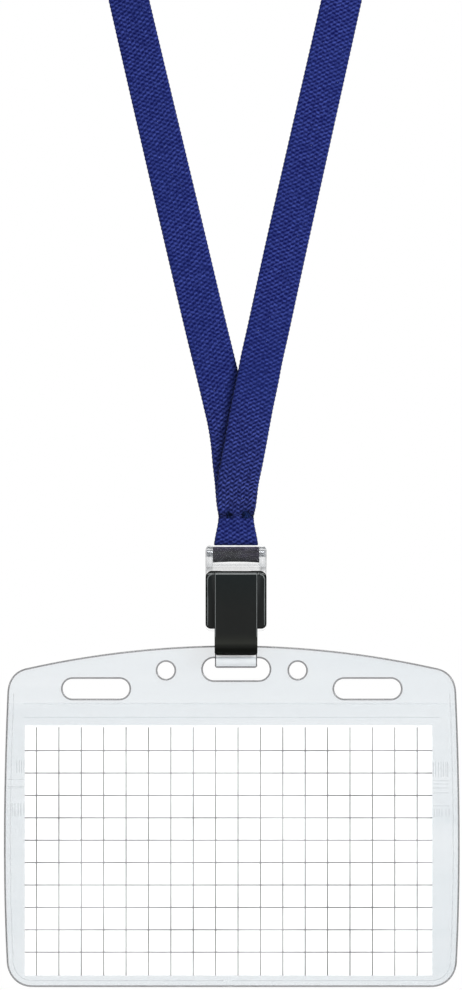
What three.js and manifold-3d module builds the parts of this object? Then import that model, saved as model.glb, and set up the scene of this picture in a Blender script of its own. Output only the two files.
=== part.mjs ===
// Lanyard badge holder: a neck strap of flat webbing, a clear lever clip and a clear
// vinyl card holder with a gridded card in its pocket.
//
// Millimetres, +Z up, front facing -Y. The object hangs as it is worn. The origin is the
// middle of the strap's inner face at the nape of the neck.
//
// Most parts are laid out in the clip's own frame, whose zero is the middle of the clip's
// top edge. The group "hanging" carries that frame to its place below the neck.

import * as THREE from 'three';
import Module from 'manifold-3d';
import { mergeVertices } from 'three/addons/utils/BufferGeometryUtils.js';

const wasm = await Module();
wasm.setup();

// ---- Driving dimensions -------------------------------------------------------------

// Webbing
const STRAP_WIDTH = 9.2;
const STRAP_THICK = 0.9;
const PLY_OFFSET = 0.75; // from the middle plane to each ply's middle at the bar tack
const STRAP_STEPS = 76;
const NAPE_Y = 114; // behind the chest plane
const NAPE_Z = 345; // above the clip's top edge

// Bar tack, the stitched waist that joins the two plies
const TACK = { width: 8.0, depth: 2.9, low: 6.0, high: 7.4 };
const TACK_GAP = 0.3;

// Clip
const CLIP_HALF_WIDTH = 6.8;
const HOUSING_HALF_DEPTH = 3.8;
const HOUSING_BOTTOM = -4.9;
const CAVITY = { halfWidth: 5.45, halfDepth: 3.0, floor: -4.5 };
const STRAP_PIN = { y: 0, z: -1.85, radius: 0.7, bore: 0.77, halfLength: 6.5 };
const PLATE = { front: 0.3, back: 2.8, bottom: -19.2 };
const PLATE_CORNER = 1.2;
const CUT_REACH = 8;
const HOOK_HALF_WIDTH = 4.7;
const HOOK_ROOT = -8;
const HOOK_TOP = -10;
const HOOK_CORNER = 0.6;
const HOOK = { outer: 2.8, inner: 1.6, outerZ: -24.6, innerZ: -23.9, tipZ: -22.6 };
const HINGE = { y: -2.7, z: -8.0, radius: 0.6, bore: 0.67, halfLength: 6.2 };
const LUG = { halfWidth: 3.0, radius: 1.15, root: 0.5 };

// Lever
const LEVER = { top: -5.7, wingBottom: -18.6, wingFront: -4.1, tongueFront: -4.8, back: -0.2 };
const LEVER_HINGE_BACK = -1.5;
const LEVER_HINGE_BOTTOM = -10.2;
const HINGE_SLOPE = 0.8;
const LEVER_ROUND = 1;
const TONGUE_HALF_WIDTH = 4.78;
const TONGUE = { bottom: -24.5, bend: -20.2, back: -3.2 };
const WING_CORNERS = [1.2, 1.5];
const TONGUE_CORNERS = [0.7, 0.3];
const FLARE = { pull: -21.2, depth: 0.12, z: -21.9 };
const CURL = { out: [-0.2, -22.8], back: [0.2, -24.1], end: 1.2 };

// Card holder, laid out about its own middle, which sits a little left of the clip's
const HOLDER_X = -0.94;
const SHEET_HALF = 0.3;
const ARCH = { apex: -22.4, radius: 210, halfWidth: 46 };
const BOTTOM_Z = -98.65;
const BOTTOM_CORNER = { start: 44.5, pull: 47.8, top: [50.25, -93], lead: [50.1, -96.2] };
const SIDE_BOW = { reach: 51.1, low: -77, high: -56 };
const TOP_CORNER = { low: [50.1, -33], lead: [50.0, -30.4], pull: [48.8, -28.2] };
const CENTRE_SLOT = { x: 1.0, z: -27.7, width: 14.9, height: 4.9 };
const SIDE_SLOT = { x: 30.3, z: -32.05, width: 14.9, height: 4.4 };
const ROUND_HOLE = { x: 14.7, z: -27.95, radius: 1.9 };
const MOUTH_Z = -35.3;
const TRAY = { front: 0.45, floor: 1.05, back: 1.55 };
const POCKET = { halfWidth: 46.9, bottom: -96.8 };
const LIP = { halfWidth: 46, low: -37.6, high: -36.8, proud: 0.25 };

// Card
const CARD = { width: 91, height: 55.9, top: -40.2, x: -0.74, front: 0.5, back: 0.8 };

// ---- Solids -------------------------------------------------------------------------

function toManifold(geometry) {
  geometry.deleteAttribute('normal');
  geometry.deleteAttribute('uv');
  const merged = mergeVertices(geometry, 1e-4);
  return new wasm.Manifold(
    new wasm.Mesh({
      numProp: 3,
      vertProperties: new Float32Array(merged.attributes.position.array),
      triVerts: new Uint32Array(merged.index.array),
    }),
  );
}

function toGeometry(solid) {
  const mesh = solid.getMesh();
  const geometry = new THREE.BufferGeometry();
  geometry.setAttribute('position', new THREE.BufferAttribute(new Float32Array(mesh.vertProperties), 3));
  geometry.setIndex(new THREE.BufferAttribute(new Uint32Array(mesh.triVerts), 1));
  geometry.computeVertexNormals();
  return geometry;
}

function box(x0, x1, y0, y1, z0, z1) {
  const geometry = new THREE.BoxGeometry(x1 - x0, y1 - y0, z1 - z0);
  geometry.translate((x0 + x1) / 2, (y0 + y1) / 2, (z0 + z1) / 2);
  return toManifold(geometry);
}

// A rod along X through (y, z)
function rod(y, z, radius, halfLength, sides = 24) {
  const geometry = new THREE.CylinderGeometry(radius, radius, 2 * halfLength, sides);
  geometry.rotateZ(Math.PI / 2);
  geometry.translate(0, y, z);
  return toManifold(geometry);
}

// A front outline, drawn in (x, z), made solid from y = near to y = far
function slab(shape, near, far, curveSegments = 12) {
  const geometry = new THREE.ExtrudeGeometry(shape, {
    depth: far - near,
    bevelEnabled: false,
    curveSegments,
  });
  geometry.rotateX(Math.PI / 2);
  geometry.translate(0, far, 0);
  return toManifold(geometry);
}

// A side profile, drawn in (y, z), made solid across the width
function across(shape, halfWidth, curveSegments = 12) {
  const geometry = new THREE.ExtrudeGeometry(shape, {
    depth: 2 * halfWidth,
    bevelEnabled: false,
    curveSegments,
  });
  geometry.translate(0, 0, -halfWidth);
  geometry.applyMatrix4(new THREE.Matrix4().set(0, 0, 1, 0, 1, 0, 0, 0, 0, 1, 0, 0, 0, 0, 0, 1));
  return toManifold(geometry);
}

function roundedRectangle(x0, x1, z0, z1, lowRadius, highRadius) {
  const shape = new THREE.Shape();
  shape.moveTo(x0 + lowRadius, z0);
  shape.lineTo(x1 - lowRadius, z0);
  shape.absarc(x1 - lowRadius, z0 + lowRadius, lowRadius, -Math.PI / 2, 0, false);
  shape.absarc(x1 - highRadius, z1 - highRadius, highRadius, 0, Math.PI / 2, false);
  shape.absarc(x0 + highRadius, z1 - highRadius, highRadius, Math.PI / 2, Math.PI, false);
  shape.absarc(x0 + lowRadius, z0 + lowRadius, lowRadius, Math.PI, 1.5 * Math.PI, false);
  return shape;
}

function part(name, solidOrGeometry, material) {
  const geometry = solidOrGeometry.isBufferGeometry ? solidOrGeometry : toGeometry(solidOrGeometry);
  const mesh = new THREE.Mesh(geometry, new THREE.MeshStandardMaterial(material));
  mesh.name = name;
  return mesh;
}

// ---- Materials ----------------------------------------------------------------------

const WEBBING = { color: 0x262f76, roughness: 0.85 };
const THREAD = { color: 0x151f52, roughness: 0.8 };
const GREY_SLEEVE = { color: 0x434348, roughness: 0.6 };
const STEEL = { color: 0xb9bcc0, roughness: 0.3, metalness: 1 };
const CLEAR = { color: 0xe8ebee, roughness: 0.1, transparent: true, opacity: 0.35 };
const BLACK = { color: 0x292b2a, roughness: 0.4 };
const VINYL = { color: 0xe6ebee, roughness: 0.2, transparent: true, opacity: 0.4 };
const CARD_STOCK = { color: 0xffffff, roughness: 0.9 };

// ---- Neck strap ---------------------------------------------------------------------

// The strap's middle line in the clip's frame: up the left leg from the bar tack, round
// the neck, and down the right leg. The right leg passes in front of the left one.
const ROUTE = [
  [0.05, PLY_OFFSET, TACK.high + TACK_GAP],
  [-0.15, PLY_OFFSET, 14],
  [-0.6, PLY_OFFSET, 18.5],
  [-1.0, PLY_OFFSET, 23],
  [-1.7, PLY_OFFSET, 27.5],
  [-2.6, PLY_OFFSET, 31.5],
  [-3.9, PLY_OFFSET, 37],
  [-5.0, PLY_OFFSET, 41.5],
  [-6.6, 0.6, 48],
  [-10.85, 0.2, 66],
  [-24.0, 0, 122],
  [-35.4, 0.5, 172],
  [-45.4, 3, 222],
  [-52.2, 11, 264],
  [-56.7, 27, 299],
  [-58.6, 52, 323],
  [-56.0, 80, 336],
  [-43.6, 101, 342],
  [-24.1, 111, 344.5],
  [0, NAPE_Y, NAPE_Z],
  [24.1, 111, 344.5],
  [43.6, 101, 342],
  [56.0, 80, 336],
  [58.6, 52, 323],
  [56.7, 27, 299],
  [52.2, 11, 264],
  [45.4, 3, 222],
  [35.0, 0.5, 172],
  [23.65, 0, 122],
  [11.05, -0.2, 66],
  [7.15, -0.6, 48],
  [5.7, -PLY_OFFSET, 41.5],
  [4.85, -PLY_OFFSET, 37],
  [3.7, -PLY_OFFSET, 31.5],
  [2.95, -PLY_OFFSET, 27.5],
  [2.15, -PLY_OFFSET, 23],
  [1.3, -PLY_OFFSET, 18.5],
  [0.45, -PLY_OFFSET, 14],
  [0.05, -PLY_OFFSET, TACK.high + TACK_GAP],
];

// The webbing faces forward on the chest, outward and up over the shoulders, and back at
// the nape. "along" runs from 0 at one end of the strap to 1 at the other.
function facing(along) {
  const half = 1 - Math.abs(2 * along - 1);
  const eased = THREE.MathUtils.smoothstep(half, 0.1, 1);
  const turn = Math.PI * eased;
  const side = along < 0.5 ? -1 : 1;
  return new THREE.Vector3(side * 0.8 * Math.sin(turn), -Math.cos(turn), 0.6 * Math.sin(turn));
}

class StrapLine extends THREE.CatmullRomCurve3 {
  computeFrenetFrames(steps) {
    const frames = { tangents: [], normals: [], binormals: [] };
    for (let i = 0; i <= steps; i += 1) {
      const tangent = this.getTangentAt(i / steps);
      const normal = facing(i / steps);
      normal.addScaledVector(tangent, -normal.dot(tangent)).normalize();
      frames.tangents.push(tangent);
      frames.normals.push(normal);
      frames.binormals.push(new THREE.Vector3().crossVectors(tangent, normal));
    }
    return frames;
  }
}

// Across the section, x is the webbing's thickness and y is its width
function webbingSection() {
  const t = STRAP_THICK / 2;
  const w = STRAP_WIDTH / 2;
  const edge = 0.35;
  const corners = [
    [t, -w + edge],
    [t, w - edge],
    [t - edge, w],
    [edge - t, w],
    [-t, w - edge],
    [-t, edge - w],
    [edge - t, -w],
    [t - edge, -w],
  ];
  return new THREE.Shape(corners.map(([x, y]) => new THREE.Vector2(x, y)));
}

function neckStrap() {
  const points = ROUTE.map((point) => new THREE.Vector3(...point));
  const line = new StrapLine(points, false, 'centripetal');
  line.arcLengthDivisions = 2000;
  const geometry = new THREE.ExtrudeGeometry(webbingSection(), {
    steps: STRAP_STEPS,
    bevelEnabled: false,
    extrudePath: line,
  });
  return part('neck_strap', toManifold(geometry), WEBBING);
}

// Half the depth to the outer face of the folded webbing at height z
function foldHalfDepth(z) {
  const top = TACK.low - TACK_GAP;
  const atPin = STRAP_PIN.radius + 0.15 + STRAP_THICK;
  const atTop = PLY_OFFSET + STRAP_THICK / 2;
  return THREE.MathUtils.mapLinear(z, STRAP_PIN.z, top, atPin, atTop);
}

// A U of even thickness that wraps under the strap pin and is open at its top
function foldedBand(topZ, offset, thickness) {
  const top = foldHalfDepth(topZ) + offset;
  const low = foldHalfDepth(STRAP_PIN.z) + offset;
  const shape = new THREE.Shape();
  shape.moveTo(-top, topZ);
  shape.lineTo(-low, STRAP_PIN.z);
  shape.absarc(0, STRAP_PIN.z, low, Math.PI, 2 * Math.PI, false);
  shape.lineTo(top, topZ);
  shape.lineTo(top - thickness, topZ);
  shape.lineTo(low - thickness, STRAP_PIN.z);
  shape.absarc(0, STRAP_PIN.z, low - thickness, 2 * Math.PI, Math.PI, true);
  shape.lineTo(thickness - top, topZ);
  return shape;
}

function strapEndLoop() {
  const shape = foldedBand(TACK.low - TACK_GAP, 0, STRAP_THICK);
  return part('strap_end_loop', across(shape, STRAP_WIDTH / 2), WEBBING);
}

function strapSleeve() {
  const shape = foldedBand(-0.4, 0.45, 0.3);
  return part('strap_sleeve', across(shape, 5.2), GREY_SLEEVE);
}

function barTack() {
  const { width, depth, low, high } = TACK;
  const solid = box(-width / 2, width / 2, -depth / 2, depth / 2, low, high);
  return part('bar_tack', solid, THREAD);
}

// ---- Clip ---------------------------------------------------------------------------

function strapPin() {
  return part('strap_pin', rod(STRAP_PIN.y, STRAP_PIN.z, STRAP_PIN.radius, STRAP_PIN.halfLength), STEEL);
}

function leverHingePin() {
  return part('lever_hinge_pin', rod(HINGE.y, HINGE.z, HINGE.radius, HINGE.halfLength), STEEL);
}

// The box round the strap's fold, and the back plate below it
function housingProfile() {
  const d = HOUSING_HALF_DEPTH;
  const round = 0.8;
  const shape = new THREE.Shape();
  shape.moveTo(-d, HOUSING_BOTTOM);
  shape.lineTo(PLATE.front, HOUSING_BOTTOM);
  shape.lineTo(PLATE.front, PLATE.bottom);
  shape.lineTo(PLATE.back, PLATE.bottom);
  shape.lineTo(PLATE.back, HOOK_ROOT);
  shape.lineTo(d, -5.6);
  shape.lineTo(d, -round);
  shape.absarc(d - round, -round, round, 0, Math.PI / 2, false);
  shape.absarc(round - d, -round, round, Math.PI / 2, Math.PI, false);
  return shape;
}

// The hook goes down from the back plate, under the card holder's edge and up in front
function hookProfile() {
  const { outer, inner, outerZ, innerZ, tipZ } = HOOK;
  const tipRadius = (outer - inner) / 2;
  const shape = new THREE.Shape();
  shape.moveTo(outer, PLATE.bottom + 1);
  shape.lineTo(inner, PLATE.bottom + 1);
  shape.lineTo(inner, innerZ);
  shape.absarc(0, innerZ, inner, 0, -Math.PI, true);
  shape.lineTo(-inner, tipZ - tipRadius);
  shape.absarc(-outer + tipRadius, tipZ - tipRadius, tipRadius, 0, Math.PI, false);
  shape.lineTo(-outer, outerZ);
  shape.absarc(0, outerZ, outer, Math.PI, 2 * Math.PI, false);
  return shape;
}

function clipBody() {
  const w = CLIP_HALF_WIDTH;
  const front = roundedRectangle(-w, w, PLATE.bottom, 0, PLATE_CORNER, PLATE_CORNER);
  const housing = across(housingProfile(), w).intersect(slab(front, -CUT_REACH, CUT_REACH));
  const hookBottom = HOOK.outerZ - HOOK.outer;
  const h = HOOK_HALF_WIDTH;
  const hookFront = roundedRectangle(-h, h, hookBottom, HOOK_TOP, HOOK_CORNER, HOOK_CORNER);
  const hook = across(hookProfile(), w).intersect(slab(hookFront, -CUT_REACH, CUT_REACH));
  const { radius, halfWidth, root } = LUG;
  const lug = rod(HINGE.y, HINGE.z, radius, halfWidth).add(
    box(-halfWidth, halfWidth, HINGE.y, PLATE.front + root, HINGE.z - radius, HINGE.z + radius),
  );
  const c = CAVITY;
  const solid = housing
    .add(hook)
    .add(lug)
    .subtract(box(-c.halfWidth, c.halfWidth, -c.halfDepth, c.halfDepth, c.floor, 1))
    .subtract(rod(STRAP_PIN.y, STRAP_PIN.z, STRAP_PIN.bore, CUT_REACH))
    .subtract(rod(HINGE.y, HINGE.z, HINGE.bore, CUT_REACH));
  return part('clip_body', solid, CLEAR);
}

// The raised middle of the lever, whose lower end flares forward and then curls back
// over the hook's tip
function tongueProfile() {
  const { top, tongueFront, wingBottom } = LEVER;
  const shape = new THREE.Shape();
  shape.moveTo(TONGUE.back, TONGUE.bottom);
  shape.lineTo(TONGUE.back, wingBottom);
  shape.lineTo(LEVER_HINGE_BACK, wingBottom);
  shape.lineTo(LEVER_HINGE_BACK, top);
  shape.lineTo(tongueFront + LEVER_ROUND, top);
  shape.absarc(tongueFront + LEVER_ROUND, top - LEVER_ROUND, LEVER_ROUND, Math.PI / 2, Math.PI, false);
  shape.lineTo(tongueFront, TONGUE.bend);
  shape.quadraticCurveTo(tongueFront, FLARE.pull, tongueFront - FLARE.depth, FLARE.z);
  shape.bezierCurveTo(
    tongueFront + CURL.out[0],
    CURL.out[1],
    tongueFront + CURL.back[0],
    CURL.back[1],
    tongueFront + CURL.end,
    TONGUE.bottom,
  );
  return shape;
}

// The full-width plate behind the tongue, cut back round the hinge so that it can swing
function wingProfile() {
  const { top, wingBottom, wingFront, back } = LEVER;
  const shape = new THREE.Shape();
  shape.moveTo(wingFront, wingBottom);
  shape.lineTo(back, wingBottom);
  shape.lineTo(back, LEVER_HINGE_BOTTOM - HINGE_SLOPE);
  shape.lineTo(LEVER_HINGE_BACK, LEVER_HINGE_BOTTOM);
  shape.lineTo(LEVER_HINGE_BACK, top);
  shape.lineTo(wingFront + LEVER_ROUND, top);
  shape.absarc(wingFront + LEVER_ROUND, top - LEVER_ROUND, LEVER_ROUND, Math.PI / 2, Math.PI, false);
  return shape;
}

function clipLever() {
  const w = CLIP_HALF_WIDTH;
  const t = TONGUE_HALF_WIDTH;
  const wings = across(wingProfile(), w).intersect(
    slab(roundedRectangle(-w, w, LEVER.wingBottom, LEVER.top, ...WING_CORNERS), -CUT_REACH, CUT_REACH),
  );
  const tongue = across(tongueProfile(), w).intersect(
    slab(roundedRectangle(-t, t, TONGUE.bottom, LEVER.top, ...TONGUE_CORNERS), -CUT_REACH, CUT_REACH),
  );
  const recessHalf = LUG.halfWidth + 0.3;
  const recessFront = HINGE.y - LUG.radius - 0.2;
  const recess = box(-recessHalf, recessHalf, recessFront, 2, HINGE.z - LUG.radius - 0.5, 0);
  const solid = wings
    .add(tongue)
    .subtract(recess)
    .subtract(rod(HINGE.y, HINGE.z, HINGE.bore, HINGE.halfLength + 0.1));
  return part('clip_lever', solid, BLACK);
}

// ---- Card holder --------------------------------------------------------------------

function mirrored([x, z]) {
  return [-x, z];
}

// Arched top, softly bowed sides and round corners, drawn counterclockwise
function holderOutline() {
  const angle = Math.asin(ARCH.halfWidth / ARCH.radius);
  const archEnd = ARCH.apex - ARCH.radius * (1 - Math.cos(angle));
  const bottom = BOTTOM_CORNER;
  const bow = SIDE_BOW;
  const top = TOP_CORNER;
  const shape = new THREE.Shape();
  shape.moveTo(-bottom.start, BOTTOM_Z);
  shape.lineTo(bottom.start, BOTTOM_Z);
  shape.bezierCurveTo(bottom.pull, BOTTOM_Z, ...bottom.lead, ...bottom.top);
  shape.bezierCurveTo(bow.reach, bow.low, bow.reach, bow.high, ...top.low);
  shape.bezierCurveTo(...top.lead, ...top.pull, ARCH.halfWidth, archEnd);
  shape.absarc(0, ARCH.apex - ARCH.radius, ARCH.radius, Math.PI / 2 - angle, Math.PI / 2 + angle, false);
  shape.bezierCurveTo(...mirrored(top.pull), ...mirrored(top.lead), ...mirrored(top.low));
  shape.bezierCurveTo(-bow.reach, bow.high, -bow.reach, bow.low, ...mirrored(bottom.top));
  shape.bezierCurveTo(...mirrored(bottom.lead), -bottom.pull, BOTTOM_Z, -bottom.start, BOTTOM_Z);
  return shape;
}

function stadiumHole({ x, z, width, height }) {
  const r = height / 2;
  const reach = width / 2 - r;
  const hole = new THREE.Path();
  hole.absarc(x + reach, z, r, -Math.PI / 2, Math.PI / 2, false);
  hole.absarc(x - reach, z, r, Math.PI / 2, 1.5 * Math.PI, false);
  hole.closePath();
  return hole;
}

function roundHole(x) {
  const hole = new THREE.Path();
  hole.absarc(x, ROUND_HOLE.z, ROUND_HOLE.radius, 0, 2 * Math.PI, false);
  return hole;
}

function holderFrontSheet() {
  const shape = holderOutline();
  shape.holes.push(stadiumHole(CENTRE_SLOT));
  for (const side of [-1, 1]) {
    shape.holes.push(stadiumHole({ ...SIDE_SLOT, x: side * SIDE_SLOT.x }));
    shape.holes.push(roundHole(side * ROUND_HOLE.x));
  }
  return part('holder_front_sheet', slab(shape, -SHEET_HALF, SHEET_HALF), VINYL);
}

// A shallow tray whose rim is welded to the front sheet at both sides and the bottom
function holderBackSheet() {
  const pocket = box(-POCKET.halfWidth, POCKET.halfWidth, 0, TRAY.floor, POCKET.bottom, 0);
  const lip = box(-LIP.halfWidth, LIP.halfWidth, TRAY.back - 0.1, TRAY.back + LIP.proud, LIP.low, LIP.high);
  const solid = slab(holderOutline(), TRAY.front, TRAY.back)
    .intersect(box(-60, 60, 0, 3, -110, MOUTH_Z))
    .subtract(pocket)
    .add(lip);
  return part('holder_back_sheet', solid, VINYL);
}

function insertCard() {
  const { width, height, top, x, front, back } = CARD;
  const solid = box(x - width / 2, x + width / 2, front, back, top - height, top);
  return part('insert_card', solid, CARD_STOCK);
}

// ---- Assembly -----------------------------------------------------------------------

const holder = new THREE.Group();
holder.position.set(HOLDER_X, 0, 0);
holder.add(holderFrontSheet(), holderBackSheet(), insertCard());

const hanging = new THREE.Group();
hanging.position.set(0, STRAP_THICK / 2 - NAPE_Y, -NAPE_Z);
hanging.add(
  neckStrap(),
  strapEndLoop(),
  barTack(),
  strapSleeve(),
  strapPin(),
  clipBody(),
  clipLever(),
  leverHingePin(),
  holder,
);

const lanyard = new THREE.Group();
lanyard.add(hanging);

export default lanyard;
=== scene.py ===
"""Looks for the lanyard badge holder: webbing, clip, vinyl holder and card, in metres."""
import math

import bmesh
import bpy
import numpy as np
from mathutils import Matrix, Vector
from mathutils.geometry import delaunay_2d_cdt


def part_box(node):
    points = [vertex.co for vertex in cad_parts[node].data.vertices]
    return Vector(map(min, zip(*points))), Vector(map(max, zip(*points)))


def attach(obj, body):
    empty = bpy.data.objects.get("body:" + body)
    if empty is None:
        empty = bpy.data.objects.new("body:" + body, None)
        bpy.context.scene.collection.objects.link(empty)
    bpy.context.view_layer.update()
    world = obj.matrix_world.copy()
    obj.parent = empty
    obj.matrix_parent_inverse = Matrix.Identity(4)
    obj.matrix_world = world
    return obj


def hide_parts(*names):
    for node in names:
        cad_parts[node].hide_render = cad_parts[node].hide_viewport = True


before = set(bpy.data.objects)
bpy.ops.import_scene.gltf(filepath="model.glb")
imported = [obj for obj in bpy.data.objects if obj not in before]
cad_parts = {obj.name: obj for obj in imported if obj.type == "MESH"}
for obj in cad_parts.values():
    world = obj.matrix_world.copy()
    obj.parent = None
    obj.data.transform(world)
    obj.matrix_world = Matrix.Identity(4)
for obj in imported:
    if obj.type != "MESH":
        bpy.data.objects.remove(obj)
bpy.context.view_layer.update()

MM = 0.001

# ---- Places, all from the CAD parts in model.glb ----

PIN_LOW, PIN_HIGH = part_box("strap_pin")
BODY_LOW, BODY_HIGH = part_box("clip_body")
TACK_LOW, TACK_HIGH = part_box("bar_tack")
SHEET_LOW, SHEET_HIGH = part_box("holder_front_sheet")
BACK_LOW, BACK_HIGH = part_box("holder_back_sheet")
CARD_LOW, CARD_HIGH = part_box("insert_card")
LEVER_LOW, LEVER_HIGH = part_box("clip_lever")
SLEEVE_LOW, SLEEVE_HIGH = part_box("strap_sleeve")

# Zero of the clip's own frame: the middle of its top edge
CLIP = Vector((0, (PIN_LOW.y + PIN_HIGH.y) / 2, BODY_HIGH.z))
PIN_Z = (PIN_LOW.z + PIN_HIGH.z) / 2 - CLIP.z
HOLDER_X = (SHEET_LOW.x + SHEET_HIGH.x) / 2

# ---- Camera: straight on, from far enough away that depth hardly shows ----

VIEW_HEIGHT = 0.221
IMAGE_MARGIN = 0.00065
VIEW_SHIFT_X = -0.00112
CAMERA_DISTANCE = 1.8
SENSOR = 0.024


def new_object(name, data, *materials):
    obj = bpy.data.objects.new(name, data)
    bpy.context.scene.collection.objects.link(obj)
    for material in materials:
        data.materials.append(material)
    return obj


def add_camera():
    data = bpy.data.cameras.new("camera")
    data.sensor_fit = "VERTICAL"
    data.sensor_height = SENSOR * 1000
    data.lens = data.sensor_height * CAMERA_DISTANCE / VIEW_HEIGHT
    data.clip_end = 100
    camera = new_object("camera", data)
    height = SHEET_LOW.z - IMAGE_MARGIN + VIEW_HEIGHT / 2
    camera.location = (VIEW_SHIFT_X, CLIP.y - CAMERA_DISTANCE, height)
    camera.rotation_euler = (math.pi / 2, 0, 0)
    bpy.context.scene.camera = camera


add_camera()

# ---- The strap's route ----

STRAP_WIDTH = 0.0092
STRAP_THICK = 0.0009
PLY_OFFSET = 0.00075
WAIST_WIDTH = 0.0078
WAIST_Z = (TACK_LOW.z + TACK_HIGH.z) / 2 - CLIP.z
WAIST_REACH = 0.0032
STRAP_END_Z = 0.0077

# In the clip's frame: up the left leg from the bar tack, round the neck and down the right
ROUTE = [
    (0.00005, PLY_OFFSET, STRAP_END_Z),
    (-0.00015, PLY_OFFSET, 0.014),
    (-0.0006, PLY_OFFSET, 0.0185),
    (-0.001, PLY_OFFSET, 0.023),
    (-0.0017, PLY_OFFSET, 0.0275),
    (-0.0026, PLY_OFFSET, 0.0315),
    (-0.0039, PLY_OFFSET, 0.037),
    (-0.005, PLY_OFFSET, 0.0415),
    (-0.0066, 0.0006, 0.048),
    (-0.01085, 0.0002, 0.066),
    (-0.024, 0, 0.122),
    (-0.0354, 0.0005, 0.172),
    (-0.0454, 0.003, 0.222),
    (-0.0522, 0.011, 0.264),
    (-0.0567, 0.027, 0.299),
    (-0.0586, 0.052, 0.323),
    (-0.056, 0.08, 0.336),
    (-0.0436, 0.101, 0.342),
    (-0.0241, 0.111, 0.3445),
    (0, 0.114, 0.345),
    (0.0241, 0.111, 0.3445),
    (0.0436, 0.101, 0.342),
    (0.056, 0.08, 0.336),
    (0.0586, 0.052, 0.323),
    (0.0567, 0.027, 0.299),
    (0.0522, 0.011, 0.264),
    (0.0454, 0.003, 0.222),
    (0.035, 0.0005, 0.172),
    (0.02365, 0, 0.122),
    (0.01105, -0.0002, 0.066),
    (0.00715, -0.0006, 0.048),
    (0.0057, -PLY_OFFSET, 0.0415),
    (0.00485, -PLY_OFFSET, 0.037),
    (0.0037, -PLY_OFFSET, 0.0315),
    (0.00295, -PLY_OFFSET, 0.0275),
    (0.00215, -PLY_OFFSET, 0.023),
    (0.0013, -PLY_OFFSET, 0.0185),
    (0.00045, -PLY_OFFSET, 0.014),
    (0.00005, -PLY_OFFSET, STRAP_END_Z),
]


def mixed(t, t_from, start, t_to, end):
    """Between start and end in step with t on its way from t_from to t_to."""
    return ((t_to - t) * start + (t - t_from) * end) / (t_to - t_from)


def smooth_line(points, per_span=60):
    """A centripetal Catmull-Rom curve through the points, as a dense polyline."""
    p = np.array(points, float)
    p = np.vstack([2 * p[0] - p[1], p, 2 * p[-1] - p[-2]])
    out = []
    for i in range(1, len(p) - 2):
        knots = [0.0]
        for a, b in zip(p[i - 1 : i + 2], p[i : i + 3]):
            knots.append(knots[-1] + math.sqrt(np.linalg.norm(b - a)))
        t0, t1, t2, t3 = knots
        for t in np.linspace(t1, t2, per_span, endpoint=False):
            a, b, c, d = p[i - 1 : i + 3]
            ab, bc, cd = mixed(t, t0, a, t1, b), mixed(t, t1, b, t2, c), mixed(t, t2, c, t3, d)
            abc, bcd = mixed(t, t0, ab, t2, bc), mixed(t, t1, bc, t3, cd)
            out.append(mixed(t, t1, abc, t2, bcd))
    out.append(p[-2])
    return np.array(out)


def lengths_along(line):
    return np.concatenate([[0], np.cumsum(np.linalg.norm(np.diff(line, axis=0), axis=1))])


def smoothstep(x, low, high):
    t = np.clip((x - low) / (high - low), 0, 1)
    return t * t * (3 - 2 * t)


# Where along each half the webbing starts to turn, and how far it then faces out and up
TURN_START = 0.1
TURN_OUT = 0.8
TURN_UP = 0.6


def neck_facing(share):
    """Which way the webbing faces at each share of its length: forward at the badge,
    outwards and up at the shoulders, and back at the nape."""
    half = 1 - np.abs(2 * share - 1)
    turn = math.pi * smoothstep(half, TURN_START, 1)
    side = np.where(share < 0.5, -TURN_OUT, TURN_OUT)
    return np.stack([side * np.sin(turn), -np.cos(turn), TURN_UP * np.sin(turn)], axis=1)


# ---- Weave ----

WEAVE_ACROSS = 0.87 * MM
WEAVE_ALONG = 1.0 * MM
WEAVE_SLANT = (0.12, 0.5)
WEAVE_RELIEF = 0.1 * MM
RIDGE_POWER = 0.55
# A finer diagonal over the stitches: its share of the height, its lean and its start
TWILL_SHARE = 0.16
TWILL_LEAN = 0.5
TWILL_START = 0.25
# Strands within a stitch: how many, and how they lean
STRANDS = 3
STRAND_LEAN = 0.25
# How far the rows of stitches lean on the leg in front
ROW_SKEW = 0.157
# Wanderings of the stitches: size, waves per metre across, waves per metre along
WANDER_ACROSS = ((0.09 * MM, 40, 210), (0.05 * MM, 130, 390), (0.02 * MM, 610, 470))
WANDER_ALONG = ((0.1 * MM, 170, 90), (0.04 * MM, 540, -380), (0.03 * MM, 905, 760))
# How tightly the tack draws the weave in, by height above the clip's top edge
TIGHT_HEIGHTS = (0.0055, 0.0095, 0.038)
TIGHTNESS = (0.25, 0.95, 0.1)


def weave_height(u, v, tight):
    """Height of the weave, 0 to 1, at u across and v along the webbing, in metres."""
    u_moved = u + sum(a * np.sin(2 * math.pi * (p * u + q * v)) for a, p, q in WANDER_ACROSS)
    v_moved = v + sum(a * np.sin(2 * math.pi * (p * u + q * v)) for a, p, q in WANDER_ALONG)
    column = np.floor(u_moved / WEAVE_ACROSS)
    s = u_moved / WEAVE_ACROSS - column - 0.5
    odd = np.mod(column, 2)
    row = v_moved / WEAVE_ALONG
    slant = WEAVE_SLANT[0] + (WEAVE_SLANT[1] - WEAVE_SLANT[0]) * tight
    phase = row + (2 * odd - 1) * s * slant + 0.5 * odd
    ridge = np.clip(np.cos(math.pi * s), 0, 1) ** RIDGE_POWER
    twill = np.cos(2 * math.pi * (row - TWILL_LEAN * u_moved / WEAVE_ACROSS + TWILL_START))
    wave = (1 - TWILL_SHARE) * ridge * np.cos(2 * math.pi * phase) + TWILL_SHARE * twill
    return 0.5 + 0.5 * wave


# ---- Meshes ----


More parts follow.
